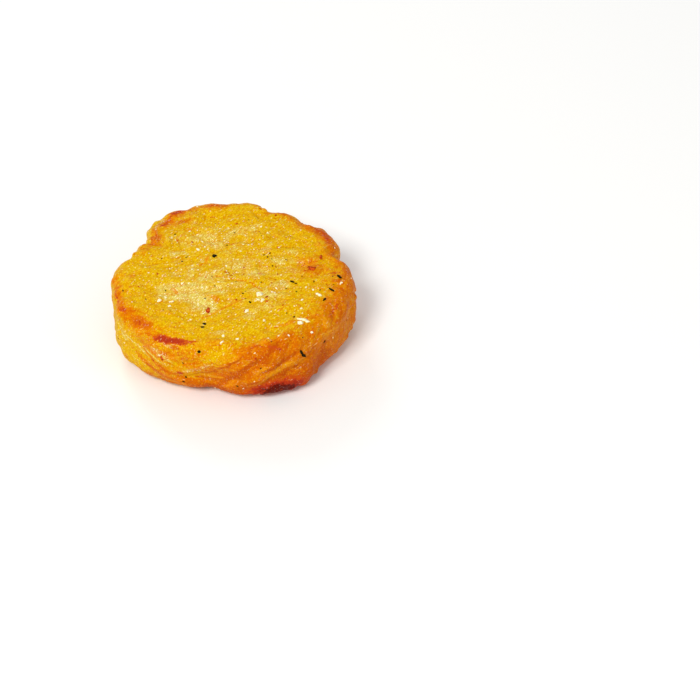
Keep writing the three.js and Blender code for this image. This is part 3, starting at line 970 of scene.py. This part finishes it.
def speck_material(name, dark, light, roughness, translucency=0.0):
    """The material of the scraps and grains: between two colours, in spots."""
    s = Shader(name)
    s.put(s.surface.inputs["Base Color"], s.mix(s.ramp(s.noise(0.5, 2), 0.35, 0.65), dark, light))
    s.surface.inputs["Specular IOR Level"].default_value = 0.05
    s.surface.inputs["Roughness"].default_value = roughness
    s.surface.inputs["Subsurface Weight"].default_value = translucency
    s.surface.inputs["Subsurface Radius"].default_value = (1.0, 0.8, 0.5)
    s.surface.inputs["Subsurface Scale"].default_value = 0.6 * MM
    s.put(s.surface.inputs["Normal"], s.bump(s.noise(0.2, 2), 0.05))
    return s.material


# ======== What lies on the crust ========
FLAKE_CORNERS = 11
RAY_START = 4  # how far outside the plain puck the search for the crust starts
RAY_LENGTH = 10
OFF_FLOOR = 0.3  # nothing is laid lower than this


def flake(length, draw):
    """A curled scrap of leaf: a thin chip with a ragged outline."""
    corners = FLAKE_CORNERS
    slim = 0.35 + 0.35 * next(draw)  # its width over its length
    curl = 0.5 * (next(draw) - 0.3)  # how far its ends turn up, or down below 0
    rim = []
    for i in range(corners):
        turn = 2 * math.pi * i / corners
        reach = length / 2 * (0.6 + 0.6 * next(draw))
        rim.append((reach * math.cos(turn), reach * math.sin(turn) * slim))
    thick = 0.03 + 0.02 * length
    points = [(0, 0, 1.5 * thick), (0, 0, -thick)]
    for half in (thick, -thick):
        points += [(x, y, half + curl * x * x / length) for x, y in rim]
    faces = []
    for i in range(corners):
        a, b = 2 + i, 2 + (i + 1) % corners
        faces += [(0, a, b), (1, b + corners, a + corners), (a, a + corners, b + corners, b)]
    return points, faces


def lump(length, draw):
    """A starchy or salty grain: a squashed ball with uneven corners."""
    bm = bmesh.new()
    bmesh.ops.create_icosphere(bm, subdivisions=2, radius=1)
    seed = Vector((50 * next(draw), 0, 0))
    flat = 0.4 + 0.3 * next(draw)  # its height over its length
    slim = 0.5 + 0.5 * next(draw)  # its width over its length
    for vert in bm.verts:
        swell = 1 + 0.8 * noise.noise(vert.co * 1.1 + seed)
        vert.co = Vector((vert.co.x, vert.co.y * slim, vert.co.z * flat)) * swell * length / 2
    points = [tuple(vert.co) for vert in bm.verts]
    faces = [tuple(vert.index for vert in face.verts) for face in bm.faces]
    bm.free()
    return points, faces


def scatter(name, shape, shown, extra, lengths, seed, surface, material, sink=0.0):
    """One mesh of what lies on the crust, first at the places shown, then at random ones.

    The surface is the crust's search tree and its origin, and sink is how deep each piece lies in
    the crust, as a share of its length.
    """
    tree, origin = surface
    draw = draws_from(seed)
    places = list(shown)
    for _ in range(extra):
        along = PROFILE_LENGTH * next(draw)
        places.append((360 * next(draw), along, between(lengths, draw), 360 * next(draw)))
    points, faces = [], []
    for degrees, along, length, heading in places:
        azimuth = math.radians(degrees)
        foot, out = puck_at(np.array(float(along)), np.array(azimuth))
        foot, out = Vector(settle(foot[None])[0] - origin), Vector(out)
        hit, normal, _, _ = tree.ray_cast((foot + out * RAY_START) * MM, -out, RAY_LENGTH * MM)
        piece, piece_faces = shape(length, draw)
        if hit is None or hit.z < OFF_FLOOR * MM:
            continue
        ahead = Vector((-math.sin(azimuth), math.cos(azimuth), 0))
        ahead.rotate(Quaternion(out, math.radians(heading)))
        across = normal.cross(ahead).normalized()
        turn = Matrix((across.cross(normal), across, normal)).transposed()
        sunk = Vector((0, 0, sink * length))
        base = len(points)
        points += [hit + turn @ (Vector(p) - sunk) * MM for p in piece]
        faces += [tuple(base + i for i in face) for face in piece_faces]
    mesh = bpy.data.meshes.new(name)
    mesh.from_pydata(points, [], faces)
    mesh.shade_smooth()
    return dress(name, mesh, material)


def dress(name, mesh, material):
    """Puts the mesh in the scene under that name, with that material."""
    piece = bpy.data.objects.new(name, mesh)
    bpy.context.scene.collection.objects.link(piece)
    mesh.materials.append(material)
    return piece


# ======== The studio ========
CAMERA_ELEVATION = 40
CAMERA_DISTANCE = 700
SENSOR_WIDTH = 36
PIXEL = 60 / 241.6  # millimetres of the rosti that one pixel of the frame takes in
FRAME = 700  # the photograph's width and height in pixels
ROSTI_IN_FRAME = (236, 295)  # pixel where the middle of the rosti stands
FLOOR_REACH = 3  # metres from the middle to each side
FLOOR_GREY = 0.92
SKY_STRENGTH = 0.52


def aim(thing, target):
    """Turns the camera or the lamp to face the target."""
    thing.rotation_mode = "QUATERNION"
    thing.rotation_quaternion = (target - thing.location).to_track_quat("-Z", "Y")


def camera():
    data = bpy.data.cameras.new("camera")
    data.sensor_width = SENSOR_WIDTH
    data.lens = SENSOR_WIDTH * CAMERA_DISTANCE / (PIXEL * FRAME)
    eye = bpy.data.objects.new("camera", data)
    bpy.context.scene.collection.objects.link(eye)
    bpy.context.scene.camera = eye
    rise = math.radians(CAMERA_ELEVATION)
    middle = Vector((0, 0, THICKNESS / 2 * MM))
    eye.location = middle + Vector((0, -math.cos(rise), math.sin(rise))) * CAMERA_DISTANCE * MM
    right = Vector((1, 0, 0)) * PIXEL * MM
    up = Vector((0, math.sin(rise), math.cos(rise))) * PIXEL * MM
    across, down = (FRAME / 2 - pixel for pixel in ROSTI_IN_FRAME)
    aim(eye, middle + right * across - up * down)


def lamp(name, place, size, power, colour=(1, 1, 1)):
    """A square lamp that faces the rosti, with its place and size in metres."""
    data = bpy.data.lights.new(name, "AREA")
    data.energy = power
    data.size = size
    data.color = colour
    thing = bpy.data.objects.new(name, data)
    bpy.context.scene.collection.objects.link(thing)
    thing.location = place
    aim(thing, Vector((0, 0, 0)))


def studio():
    mesh = bpy.data.meshes.new("floor")
    far = FLOOR_REACH
    corners = [(-far, -far, 0), (far, -far, 0), (far, far, 0), (-far, far, 0)]
    mesh.from_pydata(corners, [], [(0, 1, 2, 3)])
    white = Shader("floor")
    white.surface.inputs["Base Color"].default_value = (FLOOR_GREY, FLOOR_GREY, FLOOR_GREY, 1)
    white.surface.inputs["Roughness"].default_value = 0.9
    dress("floor", mesh, white.material)
    world = bpy.data.worlds.new("studio")
    world.use_nodes = True
    sky = world.node_tree.nodes["Background"]
    sky.inputs["Color"].default_value = (1, 1, 1, 1)
    sky.inputs["Strength"].default_value = SKY_STRENGTH
    bpy.context.scene.world = world
    lamp("key", (-0.42, -0.64, 0.90), size=0.4, power=9.4, colour=(1, 0.99, 0.94))
    lamp("rim", (-0.25, 0.8, 0.5), size=0.3, power=2.0)
    lamp("fill", (0.8, -0.5, 0.35), size=0.3, power=1.0)
    bpy.context.scene.view_settings.view_transform = "Standard"


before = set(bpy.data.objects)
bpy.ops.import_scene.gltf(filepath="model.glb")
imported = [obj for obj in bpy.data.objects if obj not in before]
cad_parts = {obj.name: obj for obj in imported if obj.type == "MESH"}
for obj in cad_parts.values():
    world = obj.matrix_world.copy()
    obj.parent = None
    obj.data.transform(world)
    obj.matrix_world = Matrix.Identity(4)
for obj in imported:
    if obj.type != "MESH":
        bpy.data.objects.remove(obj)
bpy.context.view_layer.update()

crust_mesh, origin = rosti_crust()
crust = dress("rosti_crust", crust_mesh, fried_crust())
corners = [vertex.co for vertex in crust_mesh.vertices]
surface = BVHTree.FromPolygons(corners, [face.vertices for face in crust_mesh.polygons]), origin
herb = speck_material("dried_herb", srgb(12, 8, 2), srgb(46, 38, 8), roughness=0.8)
spice = speck_material("red_spice", srgb(160, 40, 6), srgb(214, 90, 16), roughness=0.5)
salt = speck_material(
    "pale_grain", srgb(250, 234, 170), srgb(255, 250, 226), roughness=0.4, translucency=0.2
)
pieces = [
    crust,
    scatter("herb_flakes", flake, HERBS, 50, (0.35, 0.7), 31, surface, herb),
    scatter("spice_flakes", flake, SPICES, 110, (0.3, 0.8), 32, surface, spice),
    scatter("pale_grains", lump, GRAINS, 130, (0.3, 0.65), 33, surface, salt, sink=0.1),
]
for piece in pieces:
    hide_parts("rosti")
    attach(piece, "root")
studio()
camera()
